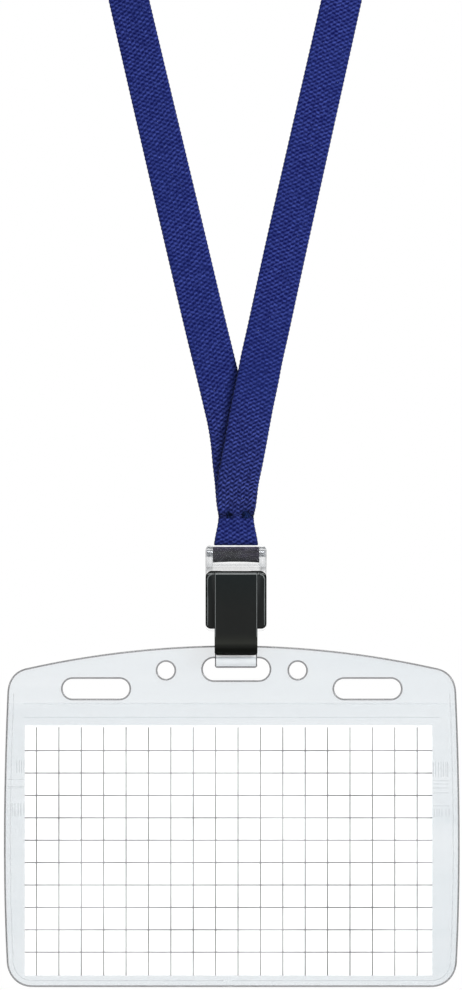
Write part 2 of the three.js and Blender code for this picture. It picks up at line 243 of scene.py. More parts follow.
def tube_faces(rows, columns):
    """Quads between neighbouring rings of points, and one face over each end."""
    index = np.arange(rows * columns).reshape(rows, columns)
    nxt = np.roll(index, -1, axis=1)
    quads = np.stack([index[:-1], nxt[:-1], nxt[1:], index[1:]], axis=-1).reshape(-1, 4)
    return [*quads.tolist(), index[0][::-1].tolist(), index[-1].tolist()]


def woven_tube(name, rings, uvs, material):
    """A tube from rings of points, rings[row][column], with a place in the weave for each."""
    mesh = bpy.data.meshes.new(name)
    mesh.from_pydata(rings.reshape(-1, 3).tolist(), [], tube_faces(*rings.shape[:2]))
    layer = mesh.uv_layers.new(name="weave")
    flat = uvs.reshape(-1, 2)
    loops = np.zeros(len(mesh.loops), int)
    mesh.loops.foreach_get("vertex_index", loops)
    layer.data.foreach_set("uv", flat[loops].astype(np.float32).ravel())
    mesh.shade_smooth()
    return new_object(name, mesh, material)


FRONT_COLUMNS = 40
BACK_COLUMNS = 12
SCALLOP = 0.05 * MM
# How flat the webbing stays before its edges round off, and the share of the half width
# over which its weave fades out at them
EDGE_POWER = 8
EDGE_FADE = 0.06


def strap_rings(centres, normals, widths, v, relief, pleat, skew):
    """Rings of a flat strap: the front edge to edge, then the back. relief, pleat and
    skew are per row: how much of the weave stands out, how far the middle bulges
    forward, and how far the rows of stitches lean."""
    tangents = np.gradient(centres, axis=0)
    tangents /= np.linalg.norm(tangents, axis=1)[:, None]
    normals = normals - (normals * tangents).sum(1)[:, None] * tangents
    normals /= np.linalg.norm(normals, axis=1)[:, None]
    across = np.cross(tangents, normals)
    front = np.linspace(-1, 1, FRONT_COLUMNS + 1)
    back = np.linspace(1, -1, BACK_COLUMNS + 1)[1:-1]
    share = np.concatenate([front, back])
    side = np.concatenate([np.ones(len(front)), -np.ones(len(back))])
    bulk = STRAP_THICK / 2 * np.sqrt(np.clip(1 - np.abs(share) ** EDGE_POWER, 0, 1))
    wave = SCALLOP * np.sin(2 * math.pi * v / WEAVE_ALONG)
    scallop = wave[:, None] * (share**EDGE_POWER * np.sign(share))[None, :]
    u = share[None, :] * (STRAP_WIDTH / 2)
    leaning_v = v[:, None] - skew[:, None] * u
    tight = np.interp(centres[:, 2] - CLIP.z, TIGHT_HEIGHTS, TIGHTNESS)[:, None]
    woven = weave_height(u, leaning_v, tight) * WEAVE_RELIEF * relief[:, None] * (side > 0)
    woven *= np.clip((1 - np.abs(share)) / EDGE_FADE, 0, 1)[None, :]
    bulge = pleat[:, None] * (0.5 + 0.5 * np.cos(2 * math.pi * share))[None, :]
    out = side[None, :] * bulk[None, :] + woven + bulge - WEAVE_RELIEF * 0.5 * (side > 0)
    rings = (
        centres[:, None, :]
        + across[:, None, :] * (share[None, :] * widths[:, None] / 2 + scallop)[:, :, None]
        + normals[:, None, :] * out[:, :, None]
    )
    uvs = np.stack(np.broadcast_arrays(u, leaning_v), axis=-1)
    return rings, uvs


# Each leg is modelled finely over this length, and its weave fades out at its far end
SEEN_LENGTH = 0.132
WEAVE_FADE = 0.008
FINE_STEP = 0.00023
COARSE_STEP = 0.0025
# The legs' width as a share of the nominal one, what it loses higher up, and where
WIDTH_FULL = 1.02
WIDTH_LOSS = 0.035
WIDTH_FALL = (0.045, 0.12)
# How far the middle of each ply bulges at the tack, and over what length
FRONT_PLEAT = 0.0004
BACK_PLEAT = 0.0001
PLEAT_REACH = 0.008


def neck_rows(length):
    """Distances along the strap: fine where the legs are seen close up, coarse elsewhere."""
    fine = np.arange(0, SEEN_LENGTH, FINE_STEP)
    middle = np.arange(SEEN_LENGTH, length - SEEN_LENGTH, COARSE_STEP)
    return np.concatenate([fine, middle, length - fine[::-1]])


def at_rows(line, rows):
    along = lengths_along(line)
    return np.stack([np.interp(rows, along, line[:, k]) for k in range(3)], axis=1)


def make_neck_strap(material):
    line = smooth_line(ROUTE) + np.array(CLIP)
    start, end = line[0].copy(), line[-1].copy()
    start[2] = end[2] = CLIP.z + WAIST_Z
    line = np.vstack([start, line, end])
    length = lengths_along(line)[-1]
    rows = neck_rows(length)
    centres = at_rows(line, rows)
    from_end = np.minimum(rows, length - rows)
    widths = STRAP_WIDTH - (STRAP_WIDTH - WAIST_WIDTH) * np.exp(-from_end / WAIST_REACH)
    widths *= WIDTH_FULL - WIDTH_LOSS * smoothstep(from_end, *WIDTH_FALL)
    relief = 1 - smoothstep(from_end, SEEN_LENGTH - WEAVE_FADE, SEEN_LENGTH)
    front_leg = rows > length / 2
    pleat = np.where(front_leg, FRONT_PLEAT, BACK_PLEAT) * (1 - smoothstep(from_end, 0, PLEAT_REACH))
    skew = np.where(front_leg, ROW_SKEW, 0)
    facing = neck_facing(rows / length)
    rings, uvs = strap_rings(centres, facing, widths, rows, relief, pleat, skew)
    obj = woven_tube("neck_strap_webbing", rings, uvs, material)
    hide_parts("neck_strap")
    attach(obj, "strap")


# ---- Node materials ----


def srgb(r, g, b):
    """A colour given as 0 to 255 screen values, as linear light."""
    shares = (r / 255, g / 255, b / 255)
    return tuple(((c + 0.055) / 1.055) ** 2.4 if c > 10 / 255 else c / 12.92 for c in shares)


class Nodes:
    """Short forms for building one material's node tree."""

    def __init__(self, name):
        self.material = bpy.data.materials.new(name)
        self.material.use_nodes = True
        self.tree = self.material.node_tree
        self.tree.nodes.clear()
        self.output = self.add("ShaderNodeOutputMaterial")
        self.shader = self.add("ShaderNodeBsdfPrincipled")
        self.link(self.shader.outputs["BSDF"], self.output.inputs["Surface"])

    def add(self, kind, **settings):
        node = self.tree.nodes.new(kind)
        for key, value in settings.items():
            setattr(node, key, value)
        return node

    def link(self, a, b):
        self.tree.links.new(a, b)

    def feed(self, socket, value):
        """Sets the socket to a number, a colour or what another socket gives."""
        if isinstance(value, bpy.types.NodeSocket):
            self.link(value, socket)
        else:
            socket.default_value = (*value, 1) if isinstance(value, tuple) else value

    def math(self, operation, *values):
        node = self.add("ShaderNodeMath", operation=operation)
        for socket, value in zip(node.inputs, values):
            self.feed(socket, value)
        return node.outputs[0]

    def times(self, *values):
        """The product of two or more values."""
        product = values[0]
        for value in values[1:]:
            product = self.math("MULTIPLY", product, value)
        return product

    def mix(self, share, a, b):
        node = self.add("ShaderNodeMix", data_type="RGBA")
        self.feed(node.inputs["Factor"], share)
        self.feed(node.inputs[6], a)
        self.feed(node.inputs[7], b)
        return node.outputs[2]

    def place(self):
        """The place on the piece, in metres, as x, y and z."""
        parts = self.add("ShaderNodeSeparateXYZ")
        self.link(self.add("ShaderNodeTexCoord").outputs["Object"], parts.inputs[0])
        return tuple(parts.outputs)

    def rim(self, blend):
        """0 face on, rising to 1 where the surface is seen edge on."""
        facing = self.add("ShaderNodeLayerWeight")
        facing.inputs["Blend"].default_value = blend
        return self.math("POWER", facing.outputs["Facing"], 3.0)

    def noise(self, scale, detail=3, stretch=(1, 1, 1)):
        place = self.add("ShaderNodeTexCoord").outputs["Object"]
        mapping = self.add("ShaderNodeMapping")
        mapping.inputs["Scale"].default_value = stretch
        self.link(place, mapping.inputs["Vector"])
        node = self.add("ShaderNodeTexNoise")
        node.inputs["Scale"].default_value = scale
        node.inputs["Detail"].default_value = detail
        self.link(mapping.outputs["Vector"], node.inputs["Vector"])
        return node.outputs["Fac"]

    def between(self, value, low, high, to_low=0.0, to_high=1.0):
        """0 up to low and 1 from high, or whatever other two values are given."""
        node = self.add("ShaderNodeMapRange", clamp=True)
        names = ("Value", "From Min", "From Max", "To Min", "To Max")
        for name, v in zip(names, (value, low, high, to_low, to_high)):
            self.feed(node.inputs[name], v)
        return node.outputs["Result"]

    def band(self, value, low, full, fall, end):
        """1 between full and fall, and 0 below low and above end."""
        return self.times(self.between(value, low, full), self.between(value, fall, end, 1.0, 0.0))

    def bump(self, height, distance, strength=1.0):
        node = self.add("ShaderNodeBump")
        node.inputs["Distance"].default_value = distance
        node.inputs["Strength"].default_value = strength
        self.link(height, node.inputs["Height"])
        self.link(node.outputs["Normal"], self.shader.inputs["Normal"])

    def set(self, **values):
        for name, value in values.items():
            self.feed(self.shader.inputs[name.replace("_", " ")], value)


def woven_height(n):
    """weave_height as nodes, from the UV map that holds metres across and along. Also
    gives a number that differs from one stitch to the next, the strands within a stitch
    and how tight the weave is."""
    parts = n.add("ShaderNodeSeparateXYZ")
    n.link(n.add("ShaderNodeUVMap", uv_map="weave").outputs["UV"], parts.inputs[0])
    u, v = parts.outputs["X"], parts.outputs["Y"]
    z = n.place()[2]
    low, peak, high = (CLIP.z + h for h in TIGHT_HEIGHTS)
    rising = n.between(z, low, peak, TIGHTNESS[0], TIGHTNESS[1])
    falling = n.between(z, peak, high, 0, TIGHTNESS[2] - TIGHTNESS[1])
    tight = n.math("ADD", rising, falling)

    def moved(start, waves):
        total = start
        for size, p, q in waves:
            turn = n.math("ADD", n.times(u, 2 * math.pi * p), n.times(v, 2 * math.pi * q))
            total = n.math("MULTIPLY_ADD", n.math("SINE", turn), size, total)
        return total

    scaled = n.math("DIVIDE", moved(u, WANDER_ACROSS), WEAVE_ACROSS)
    column = n.math("FLOOR", scaled)
    s = n.math("SUBTRACT", n.math("SUBTRACT", scaled, column), 0.5)
    odd = n.math("FLOORED_MODULO", column, 2.0)
    row = n.math("DIVIDE", moved(v, WANDER_ALONG), WEAVE_ALONG)
    slant = n.math("MULTIPLY_ADD", tight, WEAVE_SLANT[1] - WEAVE_SLANT[0], WEAVE_SLANT[0])
    leaning = n.math("MULTIPLY_ADD", n.math("MULTIPLY_ADD", odd, 2.0, -1.0), n.times(slant, s), row)
    phase = n.math("MULTIPLY_ADD", odd, 0.5, leaning)
    ridge = n.math("POWER", n.math("COSINE", n.times(s, math.pi)), RIDGE_POWER)
    twill_turn = n.math("ADD", n.math("MULTIPLY_ADD", scaled, -TWILL_LEAN, row), TWILL_START)
    twill = n.math("COSINE", n.times(twill_turn, 2 * math.pi))
    wave = n.times(ridge, n.math("COSINE", n.times(phase, 2 * math.pi)))
    wave = n.math("MULTIPLY_ADD", wave, 1 - TWILL_SHARE, n.times(twill, TWILL_SHARE))
    height = n.math("MULTIPLY_ADD", wave, 0.5, 0.5)
    stitch = n.add("ShaderNodeCombineXYZ")
    n.link(column, stitch.inputs["X"])
    n.link(n.math("ROUND", phase), stitch.inputs["Y"])
    chance = n.add("ShaderNodeTexWhiteNoise", noise_dimensions="3D")
    n.link(stitch.outputs[0], chance.inputs["Vector"])
    strand_turn = n.math("ADD", phase, n.times(s, STRAND_LEAN))
    strand = n.math("COSINE", n.times(strand_turn, 2 * math.pi * STRANDS))
    return height, chance.outputs["Value"], strand, tight


# How far the painted shade in the crease at the tack reaches above and below it, and how far up it fades
# out
CREASE_REACH = 0.0009
CREASE_FADE = 0.0028
# The bulge at the webbing's middle, and how softly the painted crease shade starts either side of it
BULGE_LEFT, BULGE_RIGHT = -0.0003, 0.0015
BULGE_INSIDE, BULGE_OUTSIDE = 0.0002, 0.0003
# How dark the painted shade in the crease is left of the bulge, on it, right of it and where it fades
SHADE_LEFT, SHADE_BULGE, SHADE_RIGHT, SHADE_FADE = 0.62, 0.1, 0.7, 0.8


def painted_tack_shade(n):
    """How much painted shade the webbing gets where the bar tack draws it in: darkest level with the
    tack, fading upwards on the right, and clear on the bulge at its middle."""
    x, _, z = n.place()
    above = n.math("SUBTRACT", z, CLIP.z + WAIST_Z)
    level = n.band(above, -CREASE_REACH, -CREASE_REACH * 0.6, CREASE_REACH * 0.5, CREASE_REACH)
    beside = n.math(
        "MAXIMUM",
        n.between(x, BULGE_LEFT - BULGE_OUTSIDE, BULGE_LEFT + BULGE_INSIDE, SHADE_LEFT, SHADE_BULGE),
        n.between(x, BULGE_RIGHT - BULGE_INSIDE, BULGE_RIGHT + BULGE_OUTSIDE, SHADE_BULGE, SHADE_RIGHT),
    )
    faded = n.times(
        n.between(above, -CREASE_REACH * 0.5, CREASE_FADE, SHADE_FADE, 0.0),
        n.between(x, 0.0, BULGE_RIGHT, 0.3, 1.0),
        n.between(above, -CREASE_REACH, 0.0),
    )
    return n.math("MAXIMUM", n.times(level, beside), faded)


# The webbing's colours between and on its stitches, each where it is slack and where tight: the gaps
# darker as painted shade, the stitch tops the yarn's blue lightened as a painted highlight
GAP_SHADE_SLACK, GAP_SHADE_TIGHT = srgb(0, 4, 66), srgb(0, 2, 46)
STITCH_LIT_SLACK, STITCH_LIT_TIGHT = srgb(51, 64, 135), srgb(68, 80, 154)
DULL_PATCH = srgb(18, 34, 92)
PALE_FIBRE = srgb(62, 76, 146)
FLECK = srgb(150, 160, 210)
# The colour of the painted shade in crevices and under the overlapping leg, and how far the occlusion
# looks for them
WEBBING_PAINTED_SHADE = srgb(0, 2, 26)
WEBBING_SHADE_REACH = 0.0026


def webbing_material():
    n = Nodes("webbing")
    height, chance, strand, tight = woven_height(n)
    fibre = n.noise(2600, 3)
    lit = n.times(
        n.math("POWER", n.between(height, 0.05, 0.95), n.math("MULTIPLY_ADD", tight, 0.5, 1.2)),
        n.between(chance, 0, 1, 0.75, 1.1),
        n.between(strand, -1, 1, 0.85, 1.05),
        n.between(n.noise(850, 2), 0.3, 0.7, 0.75, 1.15),
        n.between(fibre, 0.3, 0.7, 0.5, 1.35),
    )
    # Painted shade in the gaps and a painted highlight on the stitch tops, mixed by lit, which follows
    # the weave's height
    dark = n.mix(tight, GAP_SHADE_SLACK, GAP_SHADE_TIGHT)
    colour = n.mix(lit, dark, n.mix(tight, STITCH_LIT_SLACK, STITCH_LIT_TIGHT))
    colour = n.mix(n.between(n.noise(70, 3), 0.35, 0.7, 0, 0.25), colour, DULL_PATCH)
    gaps = n.noise(2100, 2)
    colour = n.mix(n.between(gaps, 0.54, 0.64, 0, 0.4), colour, dark)
    colour = n.mix(n.between(gaps, 0.34, 0.44, 0.15, 0), colour, PALE_FIBRE)
    colour = n.mix(n.times(n.between(n.noise(3600, 0), 0.86, 0.89), 0.5), colour, FLECK)
    # Painted shade: the colour darkens where the webbing is hemmed in, as where one leg lies over the
    # other
    occlusion = n.add("ShaderNodeAmbientOcclusion", samples=6)
    occlusion.inputs["Distance"].default_value = WEBBING_SHADE_REACH
    occlusion_shade = n.between(occlusion.outputs["AO"], 0.5, 0.9, 0.95, 0.0)
    # Painted shade from the occlusion and at the bar tack
    colour = n.mix(n.math("MAXIMUM", occlusion_shade, painted_tack_shade(n)), colour, WEBBING_PAINTED_SHADE)
    n.set(Base_Color=colour, Roughness=n.between(fibre, 0.3, 0.7, 0.75, 0.95))
    n.set(Specular_IOR_Level=0.08, Sheen_Weight=0.02, Sheen_Roughness=0.5)
    n.bump(n.math("MULTIPLY_ADD", strand, 0.06, height), 0.00011, 0.7)
    return n.material


def thread_material():
    n = Nodes("thread")
    twist = n.noise(2500, 2, stretch=(1, 1, 0.4))
    colour = n.mix(n.between(twist, 0.4, 0.75), srgb(0, 3, 20), srgb(24, 40, 88))
    n.set(Base_Color=colour, Roughness=0.85, Specular_IOR_Level=0.05)
    n.bump(twist, 0.00005, 0.6)
    return n.material


# How far down the sleeve the painted reflection of the blue webbing reaches
WEBBING_REFLECTION_REACH = 0.0012


def sleeve_material():
    n = Nodes("grey_sleeve")
    grain = n.noise(1400, 4)
    cloud = n.noise(220, 2, stretch=(1, 1, 2))
    colour = n.mix(grain, srgb(44, 44, 46), srgb(64, 64, 67))
    # A painted reflection of the blue webbing along the sleeve's top, joined with a random cloudy tint
    painted_reflection = n.between(n.place()[2], SLEEVE_HIGH.z - WEBBING_REFLECTION_REACH, SLEEVE_HIGH.z, 0, 0.8)
    tint_and_reflection = n.math("MAXIMUM", painted_reflection, n.between(cloud, 0.4, 0.7, 0, 0.35))
    colour = n.mix(tint_and_reflection, colour, srgb(62, 54, 80))
    smudge = n.between(n.noise(700, 2, stretch=(1, 1, 2.2)), 0.46, 0.66, 0, 0.45)
    colour = n.mix(smudge, colour, srgb(20, 19, 22))
    n.set(Base_Color=colour, Specular_IOR_Level=0.05)
    n.set(Roughness=n.between(grain, 0.3, 0.7, 0.6, 0.8))
    n.bump(grain, 0.00004, 0.4)
    return n.material


def steel_material():
    n = Nodes("steel")
    scratch = n.noise(900, 3, stretch=(1, 12, 12))
    n.set(Base_Color=n.mix(scratch, srgb(150, 152, 156), srgb(205, 207, 210)), Metallic=1.0)
    n.set(Roughness=n.between(scratch, 0.3, 0.7, 0.22, 0.4))
    n.bump(scratch, 0.00002, 0.3)
    return n.material


def satin(n, roughness):
    """Fine grain in the surface and its roughness. Returns broad smears for the colour."""
    grain = n.noise(3500, 3)
    n.set(Roughness=n.between(grain, 0.3, 0.7, roughness - 0.05, roughness + 0.05))
    n.bump(grain, 0.00002, 0.25)
    return n.noise(120, 3, stretch=(1, 1, 0.3))


def black_material(name, dark, light, roughness, specular=0.3):
    n = Nodes(name)
    n.set(Base_Color=n.mix(satin(n, roughness), dark, light), Specular_IOR_Level=specular)
    return n.material


# Heights on the lever where the painted highlight on its tongue starts, is full from and to, and ends,
# and where its cooler top starts and is full
PAINTED_SHINE_BAND = (CLIP.z - 0.0231, CLIP.z - 0.0219, CLIP.z - 0.0216, CLIP.z - 0.0196)
COOL_TOP = (CLIP.z - 0.015, CLIP.z - 0.007)


def lever_material():
    """Satin black, a little cooler at the top, with a painted highlight where the lever's tongue turns
    forward and painted shade, with little reflection, below it where it curls back."""
    n = Nodes("black_plastic")
    z = n.place()[2]
    colour = n.mix(satin(n, 0.36), srgb(12, 14, 13), srgb(22, 24, 23))
    colour = n.mix(n.between(z, *COOL_TOP, 0, 0.6), colour, srgb(8, 18, 20))
    # Painted highlight where the tongue turns forward
    colour = n.mix(n.times(n.band(z, *PAINTED_SHINE_BAND), 0.4), colour, srgb(38, 40, 33))
    above_painted_shade = n.between(z, *PAINTED_SHINE_BAND[:2])
    # Painted shade below the turn, where the tongue curls back, with its reflection turned down too
    colour = n.mix(n.math("SUBTRACT", 1.0, above_painted_shade), colour, srgb(6, 8, 5))
    n.set(Base_Color=colour, Specular_IOR_Level=n.between(above_painted_shade, 0, 1, 0.05, 0.3))
    return n.material


# Where the housing's side walls start, across and upwards, and the top of the band of painted shade
# under the sleeve
WALL_X = (0.0050, 0.0056)
WALL_Z = (CLIP.z - 0.0062, CLIP.z - 0.0054)
SLEEVE_SHADE_Z = (SLEEVE_LOW.z - 0.0004, SLEEVE_LOW.z + 0.0001)


def clear_material():
    """Clear moulding: faint face on; streaky grey painted where its side walls are seen edge on through
    the front of the housing, for the dark they refract; and a band of painted shade under the sleeve."""
    n = Nodes("clear_plastic")
    x, _, z = n.place()
    high = n.between(z, *WALL_Z)
    # Painted grey streaks where the side walls are seen edge on, for the dark they refract
    streaks = n.between(n.noise(700, 3, stretch=(2.5, 2.5, 0.12)), 0.3, 0.7, 0.06, 0.42)
    painted_wall_grey = n.times(n.between(n.math("ABSOLUTE", x), *WALL_X), high, streaks)
    veil = n.between(n.noise(260, 3, stretch=(3, 3, 0.6)), 0.3, 0.7, 0.01, 0.04)
    # Painted shade: a greyer band under the sleeve
    cloud = n.times(high, n.between(z, *SLEEVE_SHADE_Z, 1.0, 0.0), 0.14)
    amount = n.math("ADD", n.math("ADD", veil, cloud), painted_wall_grey)
    n.set(Alpha=n.math("MULTIPLY_ADD", n.rim(0.35), 0.45, amount))
    n.set(Base_Color=n.mix(n.noise(90, 2), (0.36, 0.38, 0.4), (0.42, 0.44, 0.46)))
    n.set(Roughness=n.between(n.noise(500, 2), 0.3, 0.7, 0.06, 0.16), Specular_IOR_Level=0.22)
    return n.material


# The softness of the window's edges
WINDOW_SOFT = 0.00012


def window_mask(n):
    """1 over the card's window and 0 on the holder's margins, from the place on the sheet."""
    x, _, z = n.place()
    soft = WINDOW_SOFT
    bands = []
    for at, low, high in ((x, CARD_LOW.x, CARD_HIGH.x), (z, CARD_LOW.z, CARD_HIGH.z)):
        bands.append(n.band(at, low - soft, low + soft, high - soft, high + soft))
    return n.times(*bands)


def vinyl_material(name, colour, alpha, window_alpha):
    """Soft clear vinyl, matt and faintly blue in its margins and clear over the card."""
    n = Nodes(name)
    mask = window_mask(n)
    ripple = n.noise(38, 3, stretch=(0.25, 1, 3))
    tint = n.between(ripple, 0.3, 0.7, alpha * 0.85, alpha * 1.15)
    margin = n.times(n.math("SUBTRACT", 1.0, mask), tint)
    through = n.math("MULTIPLY_ADD", mask, window_alpha, margin)
    n.set(Alpha=n.math("MULTIPLY_ADD", n.rim(0.3), 0.25, through))
    n.set(Base_Color=n.mix(n.noise(25, 2), colour, tuple(c * 0.93 for c in colour)))
    n.set(Roughness=n.between(mask, 0, 1, 0.32, 0.08), Specular_IOR_Level=0.5)
    n.bump(ripple, 0.0003, 0.15)
    return n.material


def edge_material(name, colour, alpha, varied=0.07):
    """The cut edge of clear sheet, painted dark for the dark of its surroundings that it refracts; the
    same flat colour also serves for a painted highlight and for fine moulded lines. varied is how
    unevenly it does so."""
    n = Nodes(name)
    speck = n.noise(700, 2)
    n.set(Base_Color=n.mix(speck, colour, tuple(min(1, c * 1.25) for c in colour)))
    n.set(Alpha=n.between(speck, 0.3, 0.7, alpha * (1 - varied), alpha * (1 + varied)))
    n.set(Roughness=0.2, Specular_IOR_Level=0.5)
    return n.material


# Where the painted highlight under the lever starts and is full
TAIL_PAINTED_GLEAM = (CLIP.z - 0.02495, CLIP.z - 0.0248)


def tail_material():
    """The hook's front: pale, with fine level streaks and a painted highlight under the lever."""
    n = Nodes("clear_plastic_tail")
    streak = n.noise(300, 3, stretch=(0.25, 0.25, 9))
    pale = n.mix(streak, (0.5, 0.55, 0.58), (0.8, 0.85, 0.88))
    painted_tail_gleam = n.between(n.place()[2], *TAIL_PAINTED_GLEAM)
    n.set(Base_Color=n.mix(painted_tail_gleam, pale, (1.0, 1.0, 1.0)), Alpha=n.between(painted_tail_gleam, 0, 1, 0.68, 0.9))
    n.set(Roughness=0.3, Specular_IOR_Level=0.3)
    return n.material


GRID_PITCH = 0.005
GRID_LINE = 0.00026
# From the card's left and top edges to a line
GRID_X0 = 0.00263
GRID_Z0 = 0.00569
# No line runs closer than this beside the edges, and upright ones end just under the top
GRID_MARGIN = 0.002
GRID_SOFT = 0.00002
GRID_TOP = (CARD_HIGH.z - 0.0005, CARD_HIGH.z - 0.0004)
FRONT_SOFT = 0.00001


def card_material():
    """White card with a thin grid printed on its front."""
    n = Nodes("card")
    x, y, z = n.place()
    half = GRID_LINE / GRID_PITCH / 2
    lines = []
    for at, start, edge_low, edge_high in (
        (x, CARD_LOW.x + GRID_X0, CARD_LOW.x, CARD_HIGH.x),
        (z, CARD_HIGH.z - GRID_Z0, CARD_LOW.z, CARD_HIGH.z),
    ):
        cell = n.math("DIVIDE", n.math("SUBTRACT", at, start), GRID_PITCH)
        off = n.math("ABSOLUTE", n.math("SUBTRACT", n.math("FRACT", n.math("ADD", cell, 0.5)), 0.5))
        low, high = edge_low + GRID_MARGIN, edge_high - GRID_MARGIN
        printed = n.band(at, low, low + GRID_SOFT, high - GRID_SOFT, high)
        lines.append(n.times(n.between(off, half * 0.8, half * 1.2, 1.0, 0.0), printed))
    middle = (CARD_LOW.y + CARD_HIGH.y) / 2
    ink = n.times(
        n.math("MAXIMUM", *lines),
        n.between(z, *GRID_TOP, 1.0, 0.0),
        n.between(y, middle - FRONT_SOFT, middle, 1.0, 0.0),
        n.between(n.noise(60, 2), 0.3, 0.7, 0.75, 1.0),
    )
    fibre = n.noise(1800, 4)
    paper = n.mix(fibre, (0.93, 0.93, 0.93), (0.99, 0.99, 0.99))
    n.set(Base_Color=n.mix(ink, paper, (0.1, 0.1, 0.1)))
    n.set(Roughness=0.85, Specular_IOR_Level=0.1)
    n.bump(fibre, 0.00002, 0.2)
    return n.material


WEBBING = webbing_material()
THREAD = thread_material()
SLEEVE = sleeve_material()
STEEL = steel_material()
BLACK = lever_material()
# Painted highlight on the lever's bevels
BLACK_PAINTED_HIGHLIGHT = black_material("black_plastic_painted_highlight", srgb(96, 100, 100), srgb(116, 120, 120), 0.3)
# Painted highlight on the fine lines just inside the wings' edges
BLACK_HIGHLIGHT_LINE = black_material("black_plastic_painted_highlight_line", srgb(84, 88, 88), srgb(106, 110, 110), 0.3)
# Painted shade on the lever's outer bevels and on faces turned down or away
BLACK_PAINTED_SHADE = black_material("black_plastic_painted_shade", srgb(4, 6, 4), srgb(8, 10, 7), 0.7, 0.05)
CLEAR = clear_material()
# Painted dark outlines on the clip's sides and round its hook, for the dark its clear edges refract
CLEAR_PAINTED_OUTLINE = edge_material("clear_plastic_painted_outline", (0.16, 0.16, 0.17), 0.3, 0.5)
CLEAR_PAINTED_LINE = edge_material("clear_plastic_painted_line", (0.07, 0.07, 0.075), 0.78)
# Painted highlight along the clip's top edge
CLEAR_PAINTED_GLEAM = edge_material("clear_plastic_painted_gleam", (0.8, 0.8, 0.8), 0.8)
CLEAR_TAIL = tail_material()
VINYL = vinyl_material("clear_vinyl", (0.335, 0.42, 0.48), 0.175, 0.012)
VINYL_BACK = vinyl_material("clear_vinyl_back", (0.4, 0.52, 0.56), 0.03, 0.03)
# Painted dark on the vinyl's rounded cut edges, for the dark they refract
VINYL_PAINTED_EDGE = edge_material("clear_vinyl_painted_edge", (0.12, 0.12, 0.125), 0.62)
VINYL_RIB = edge_material("clear_vinyl_rib", (0.35, 0.37, 0.38), 0.14)
VINYL_LIP = edge_material("clear_vinyl_lip", (0.4, 0.43, 0.45), 0.07)
CARD = card_material()

# ---- Strap pieces ----

make_neck_strap(WEBBING)


# The gap between the sleeve's box and the webbing's fold, and the fold's steps
WRAP = 0.00045
FOLD_STEPS = 40


def fold_line(offset):
    """The webbing's U round the strap pin, from the front ply to the back ply, or a line
    that far outside it."""
    at_pin = (SLEEVE_HIGH.y - SLEEVE_LOW.y) / 2 - WRAP - STRAP_THICK / 2 + offset
    points = [(0, -PLY_OFFSET - offset, WAIST_Z)]
    for i in range(FOLD_STEPS + 1):
        angle = math.pi + math.pi * i / FOLD_STEPS
        points.append((0, at_pin * math.cos(angle), PIN_Z + at_pin * math.sin(angle)))
    points.append((0, PLY_OFFSET + offset, WAIST_Z))
    return np.array(points) + np.array(CLIP)


def resampled(line, step):
    length = lengths_along(line)[-1]
    rows = np.linspace(0, length, int(length / step) + 1)
    return at_rows(line, rows), rows


def fold_normals(centres):
    """Away from the middle of the fold."""
    tangents = np.gradient(centres, axis=0)
    return np.stack([np.zeros(len(centres)), tangents[:, 2], -tangents[:, 1]], axis=1)


# The end loop's full width, how far below the tack it is reached, and the pleat's reach
LOOP_WIDTH = 0.0099
LOOP_SPREAD = 0.0075
LOOP_PLEAT_REACH = 0.004


def make_end_loop():
    centres, rows = resampled(fold_line(0), FINE_STEP)
    below = CLIP.z + WAIST_Z - centres[:, 2]
    widths = WAIST_WIDTH + (LOOP_WIDTH - WAIST_WIDTH) * smoothstep(below, 0, LOOP_SPREAD)
    pleat = FRONT_PLEAT * (1 - smoothstep(below, 0, LOOP_PLEAT_REACH))
    even = np.ones(len(rows))
    straight = np.zeros(len(rows))
    rings, uvs = strap_rings(centres, fold_normals(centres), widths, rows, even, pleat, straight)
    obj = woven_tube("strap_end_loop_webbing", rings, uvs, WEBBING)
    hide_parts("strap_end_loop")
    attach(obj, "strap")


SLEEVE_ARCH = 0.0002
ARCH_FADE = 0.002
SLEEVE_CORNER = 0.0004
# The tape's middle outside the webbing's, half its thickness, how far it stands off level
# with the pin, and the points across it
TAPE_OFFSET = 0.0006
TAPE_HALF = 0.00015
TAPE_REACH = 0.00205
TAPE_COLUMNS = 25


def make_sleeve():
    """Dark tape wrapped round the fold, its lower edge slightly arched."""
    top = SLEEVE_HIGH.z - CLIP.z
    line = fold_line(TAPE_OFFSET)
    line = line[line[:, 2] <= CLIP.z + top + 1e-9]
    reach = np.interp(top, [PIN_Z, WAIST_Z], [TAPE_REACH, PLY_OFFSET + TAPE_OFFSET])
    front, rear = (np.array([0, y, top]) + np.array(CLIP) for y in (-reach, reach))
    centres, _ = resampled(np.vstack([front, line, rear]), TAPE_HALF)
    normals = fold_normals(centres)
    normals /= np.linalg.norm(normals, axis=1)[:, None]
    share = np.linspace(-1, 1, TAPE_COLUMNS)
    half = (SLEEVE_HIGH.x - SLEEVE_LOW.x) / 2
    rings = []
    for centre, normal in zip(centres, normals):
        under = np.clip((PIN_Z - (centre[2] - CLIP.z)) / ARCH_FADE, 0, 1)
        past = np.clip((centre[2] - SLEEVE_HIGH.z) / SLEEVE_CORNER + 1, 0, 1)
        side = half - SLEEVE_CORNER * (1 - math.sqrt(1 - past**2))
        lift = SLEEVE_ARCH * under * (1 - share**2)
        across = np.stack([side * share, np.zeros(TAPE_COLUMNS), lift], axis=1)
        off = normal * TAPE_HALF
        rings.append(np.vstack([centre + off + across, centre - off + across[::-1]]))
    rings = np.array(rings)[:, ::-1]
    obj = woven_tube("strap_sleeve_tape", rings, np.zeros((*rings.shape[:2], 2)), SLEEVE)
    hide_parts("strap_sleeve")
    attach(obj, "strap")


TUBE_SIDES = 8


